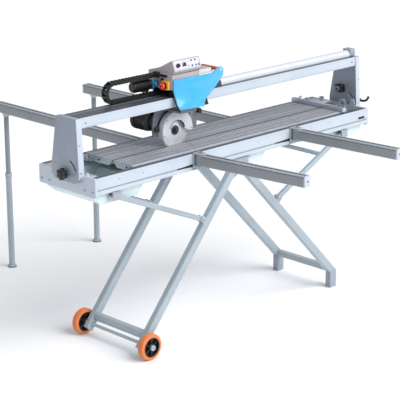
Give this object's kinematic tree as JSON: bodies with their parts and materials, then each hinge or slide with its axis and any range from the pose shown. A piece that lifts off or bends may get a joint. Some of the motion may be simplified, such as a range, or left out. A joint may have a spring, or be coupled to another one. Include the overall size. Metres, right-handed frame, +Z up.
{
  "type": "wet tile saw",
  "caption": "Rail saw for wet cutting of large tiles: a motor head travels along a tilting beam over a slotted table, on a folding wheeled stand with side supports.",
  "frame": {"origin": "on the floor, under the middle of the whole object's box", "axes": "+Z up, +X along the table towards the fence end, -Y towards the operator"},
  "size_m": [1.964, 2.0958, 1.32],
  "materials": {
    "frame_paint": "powder coat, light blue-grey",
    "tower_paint": "powder coat, mid grey",
    "table_aluminium": "extruded, worn",
    "tub_plastic": "moulded, pale blue",
    "leg_paint": "powder coat, silver grey",
    "zinc_steel": "zinc plated",
    "black_plastic": "moulded, black",
    "cover_blue": "gloss enamel, blue",
    "console_grey": "moulded, textured",
    "panel_light": "moulded, light",
    "button_white": "moulded, white",
    "button_dark": "moulded, dark slate blue",
    "estop_yellow": "moulded, yellow",
    "estop_red": "moulded, red",
    "grip_orange": "moulded grip",
    "tyre_orange": "moulded solid tyre",
    "motor_black": "enamel on cast aluminium",
    "plate_grey": "powder coat",
    "blade_steel": "ground, diamond rim",
    "pump_blue": "moulded"
  },
  "bodies": {
    "frame": {"base_front_rail": "frame_paint", "base_rear_rail": "frame_paint", "base_end_plates": "frame_paint", "base_cross_members": "zinc_steel", "water_tray": "tub_plastic", "water_pump": "pump_blue", "plank_front": "table_aluminium", "plank_rear": "table_aluminium", "hinge_pins": "zinc_steel", "stand_brackets": "zinc_steel", "front_arm_brackets": "leg_paint", "rear_arms": "leg_paint"},
    "bridge": {"tower_left": "tower_paint", "tower_right": "tower_paint", "beam": "frame_paint", "beam_duct": "zinc_steel", "laser_unit": "black_plastic", "chain_lower_run": "black_plastic"},
    "chain": {"chain_loop": "black_plastic"},
    "head": {"carriage": "motor_black", "console_body": "console_grey", "control_panel": "panel_light", "estop_housing": "estop_yellow", "cover_plate": "cover_blue", "handle_bar": "grip_orange", "feed_motor": "motor_black", "chain_upper_run": "black_plastic"},
    "speed_dial": {"speed_knob": "black_plastic"},
    "start_key": {"start_button": "button_white"},
    "estop_push": {"estop_button": "estop_red"},
    "cutting_unit": {"motor_plate": "plate_grey", "spindle_motor": "motor_black", "blade_guard": "frame_paint"},
    "blade_shaft": {"blade": "blade_steel", "arbor": "zinc_steel"},
    "guard_screw_left": {"guard_knob_left": "black_plastic"},
    "guard_screw_right": {"guard_knob_right": "black_plastic"},
    "tilt_screw": {"tilt_knob": "black_plastic"},
    "tilt_lock": {"tilt_lever": "black_plastic"},
    "fence": {"fence_bar": "table_aluminium"},
    "fence_screw_1": {"fence_knob_1": "zinc_steel"},
    "fence_screw_2": {"fence_knob_2": "zinc_steel"},
    "front_arm_l": {"front_arm_left": "leg_paint"},
    "front_arm_r": {"front_arm_right": "leg_paint"},
    "foot_l": {"rear_foot_left": "leg_paint"},
    "foot_r": {"rear_foot_right": "leg_paint"},
    "left_legs": {"left_leg_frame": "leg_paint"},
    "right_legs": {"right_leg_frame": "leg_paint", "right_feet": "black_plastic"},
    "left_brace": {"left_braces": "leg_paint"},
    "right_brace": {"right_braces": "leg_paint"},
    "wheel_front": {"wheel_front_hub": "black_plastic", "wheel_front_tyre": "tyre_orange"},
    "wheel_rear": {"wheel_rear_hub": "black_plastic", "wheel_rear_tyre": "tyre_orange"},
    "key_1": {"panel_button_1": "button_dark"},
    "key_2": {"panel_button_2": "button_dark"},
    "key_3": {"panel_button_3": "button_dark"},
    "key_4": {"panel_button_4": "button_dark"},
    "key_5": {"panel_button_5": "button_dark"}
  },
  "joints": [
    {"name": "beam_tilt", "type": "hinge", "parent": "frame", "child": "bridge", "pos_m": [0, -0.27113, 0.9], "axis": [1, 0, 0], "range_deg": [0, 45]},
    {"name": "head_travel", "type": "slide", "parent": "bridge", "child": "head", "axis": [1, 0, 0], "range_m": [-0.28, 0.93], "deforming": ["chain_upper_run"]},
    {"name": "chain_roll", "type": "slide", "parent": "bridge", "child": "chain", "axis": [1, 0, 0], "range_m": [-0.15, 0.47], "deforming": ["chain_lower_run"]},
    {"name": "speed_turn", "type": "hinge", "parent": "head", "child": "speed_dial", "pos_m": [-0.345, -0.35712, 1.29609], "axis": [0, -0.9409, 0.3387], "range_deg": [-135, 135]},
    {"name": "start_press", "type": "slide", "parent": "head", "child": "start_key", "axis": [0, 0.9409, -0.3387], "range_m": [0, 0.0015], "stiffness_N_per_m": 600, "springref_m": -0.001},
    {"name": "key_1_press", "type": "slide", "parent": "head", "child": "key_1", "axis": [0, 0.9409, -0.3387], "range_m": [0, 0.0015], "stiffness_N_per_m": 600, "springref_m": -0.001},
    {"name": "key_2_press", "type": "slide", "parent": "head", "child": "key_2", "axis": [0, 0.9409, -0.3387], "range_m": [0, 0.0015], "stiffness_N_per_m": 600, "springref_m": -0.001},
    {"name": "key_3_press", "type": "slide", "parent": "head", "child": "key_3", "axis": [0, 0.9409, -0.3387], "range_m": [0, 0.0015], "stiffness_N_per_m": 600, "springref_m": -0.001},
    {"name": "key_4_press", "type": "slide", "parent": "head", "child": "key_4", "axis": [0, 0.9409, -0.3387], "range_m": [0, 0.0015], "stiffness_N_per_m": 600, "springref_m": -0.001},
    {"name": "key_5_press", "type": "slide", "parent": "head", "child": "key_5", "axis": [0, 0.9409, -0.3387], "range_m": [0, 0.0015], "stiffness_N_per_m": 600, "springref_m": -0.001},
    {"name": "estop_press", "type": "slide", "parent": "head", "child": "estop_push", "axis": [1, 0, 0], "range_m": [0, 0.004], "stiffness_N_per_m": 900, "springref_m": -0.001},
    {"name": "cut_depth", "type": "slide", "parent": "head", "child": "cutting_unit", "axis": [0, 0, 1], "range_m": [0, 0.022]},
    {"name": "blade_spin", "type": "hinge", "parent": "cutting_unit", "child": "blade_shaft", "pos_m": [-0.288, -0.26913, 0.973], "axis": [0, 1, 0], "continuous": true},
    {"name": "guard_screw_left_turn", "type": "hinge", "parent": "cutting_unit", "child": "guard_screw_left", "pos_m": [-0.392, -0.25413, 0.99], "axis": [0, 1, 0], "range_deg": [0, 180]},
    {"name": "guard_screw_right_turn", "type": "hinge", "parent": "cutting_unit", "child": "guard_screw_right", "pos_m": [-0.118, -0.25413, 1.034], "axis": [0, 1, 0], "range_deg": [0, 180]},
    {"name": "tilt_screw_turn", "type": "hinge", "parent": "frame", "child": "tilt_screw", "pos_m": [-0.96, -0.27113, 0.9], "axis": [1, 0, 0], "range_deg": [0, 180]},
    {"name": "tilt_lock_turn", "type": "hinge", "parent": "frame", "child": "tilt_lock", "pos_m": [0.955, -0.33488, 0.91708], "axis": [1, 0, 0], "range_deg": [-70, 0]},
    {"name": "fence_slide", "type": "slide", "parent": "frame", "child": "fence", "axis": [1, 0, 0], "range_m": [-0.3, 0]},
    {"name": "fence_screw_1_turn", "type": "hinge", "parent": "fence", "child": "fence_screw_1", "pos_m": [0.776, -0.14813, 0.915], "axis": [0, 0, 1], "range_deg": [0, 180]},
    {"name": "fence_screw_2_turn", "type": "hinge", "parent": "fence", "child": "fence_screw_2", "pos_m": [0.85, -0.18013, 0.915], "axis": [0, 0, 1], "range_deg": [0, 180]},
    {"name": "front_arm_l_swing", "type": "hinge", "parent": "frame", "child": "front_arm_l", "pos_m": [-0.31, -0.46313, 0.873], "axis": [0, 0, 1], "range_deg": [-7, 82]},
    {"name": "front_arm_r_swing", "type": "hinge", "parent": "frame", "child": "front_arm_r", "pos_m": [0.345, -0.46313, 0.873], "axis": [0, 0, 1], "range_deg": [-5, 84]},
    {"name": "foot_l_height", "type": "slide", "parent": "frame", "child": "foot_l", "axis": [0, 0, 1], "range_m": [0, 0.3]},
    {"name": "foot_r_height", "type": "slide", "parent": "frame", "child": "foot_r", "axis": [0, 0, 1], "range_m": [0, 0.3]},
    {"name": "left_legs_fold", "type": "hinge", "parent": "frame", "child": "left_legs", "pos_m": [-0.054, -0.24413, 0.784], "axis": [0, 1, 0], "range_deg": [0, 44.4]},
    {"name": "right_legs_fold", "type": "hinge", "parent": "frame", "child": "right_legs", "pos_m": [-0.01, -0.24413, 0.784], "axis": [0, -1, 0], "range_deg": [0, 39.9]},
    {"name": "left_brace_fold", "type": "hinge", "parent": "left_legs", "child": "left_brace", "pos_m": [-0.27127, -0.24413, 0.57436], "axis": [0, 1, 0], "range_deg": [-74, 0]},
    {"name": "right_brace_fold", "type": "hinge", "parent": "right_legs", "child": "right_brace", "pos_m": [0.25095, -0.24413, 0.56341], "axis": [0, -1, 0], "range_deg": [-73, 0]},
    {"name": "wheel_front_roll", "type": "hinge", "parent": "left_legs", "child": "wheel_front", "pos_m": [-0.65, -0.47213, 0.0625], "axis": [0, 1, 0], "continuous": true},
    {"name": "wheel_rear_roll", "type": "hinge", "parent": "left_legs", "child": "wheel_rear", "pos_m": [-0.65, -0.01613, 0.0625], "axis": [0, 1, 0], "continuous": true}
  ],
  "couplings": [
    {"joint": "chain_roll", "follows": "head_travel", "ratio": 0.5},
    {"joint": "left_brace_fold", "follows": "left_legs_fold", "ratio": -1.653},
    {"joint": "right_brace_fold", "follows": "right_legs_fold", "ratio": -1.81}
  ]
}
